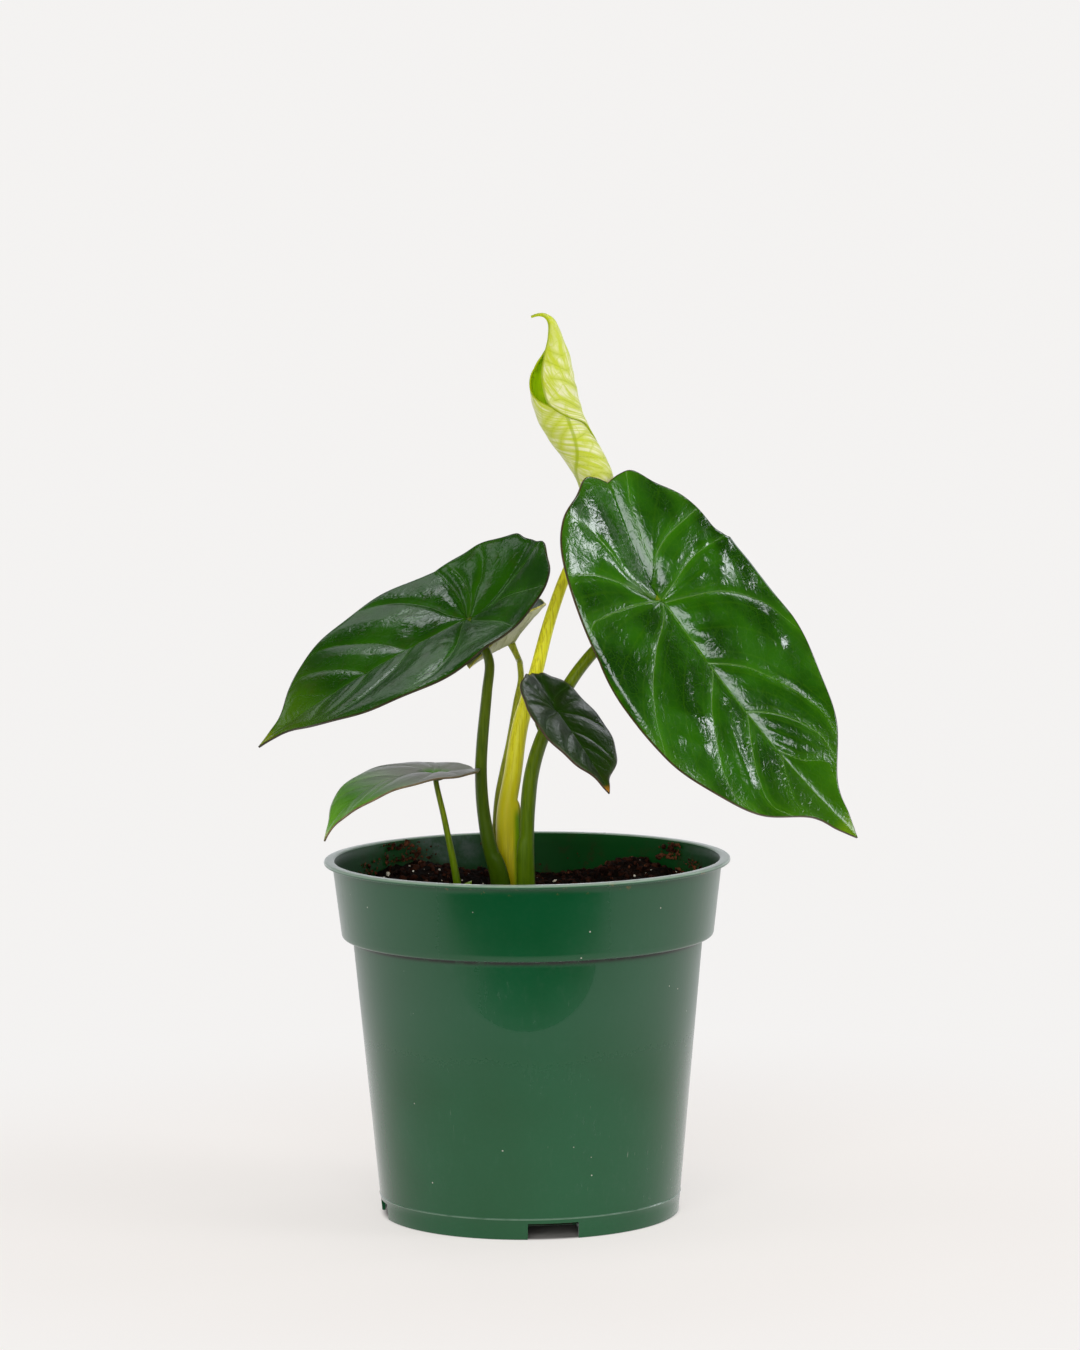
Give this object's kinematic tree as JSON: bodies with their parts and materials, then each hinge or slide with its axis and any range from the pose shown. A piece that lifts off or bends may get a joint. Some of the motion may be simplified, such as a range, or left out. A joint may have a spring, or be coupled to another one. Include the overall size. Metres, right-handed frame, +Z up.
{
  "type": "potted quilted dream alocasia",
  "caption": "Leafy house plant with glossy, quilted spade-shaped leaves on slender stalks and a rolled new leaf, growing in a round green nursery pot with a rim band and drain notches.",
  "frame": {"origin": "middle of the pot's underside, on the surface that it stands on", "axes": "+Z up along the pot's axis, -Y towards the front view of the plant, +X to its right"},
  "size_m": [0.2291, 0.156, 0.3455],
  "materials": {
    "pot_plastic": "thin moulded green plastic, glossy, with fine dust and scuffs",
    "potting_mix": "damp, dark, crumbly peat and bark mix with pale perlite grains",
    "stem": "fibrous brown stem base",
    "stalk": "smooth fleshy green stalk with fine lengthwise streaks",
    "young_stalk": "smooth yellow-green young stalk",
    "leaf": "glossy deep green blade, quilted between yellow-green veins, with a thin brown margin",
    "young_leaf": "soft satin yellow-green of an unopened leaf"
  },
  "bodies": {
    "root": {"pot": "pot_plastic", "soil": "potting_mix", "main_stem": "stem", "side_stem": "stem", "right_stalk": "stalk", "right_blade": "leaf", "left_stalk": "stalk", "left_blade": "leaf", "front_stalk": "stalk", "front_blade": "leaf", "low_stalk": "stalk", "low_blade": "leaf", "back_stalk": "stalk", "back_blade": "leaf", "furled_stalk": "young_stalk", "furled_blade": "young_leaf", "cut_stalk": "young_stalk"}
  },
  "joints": []
}
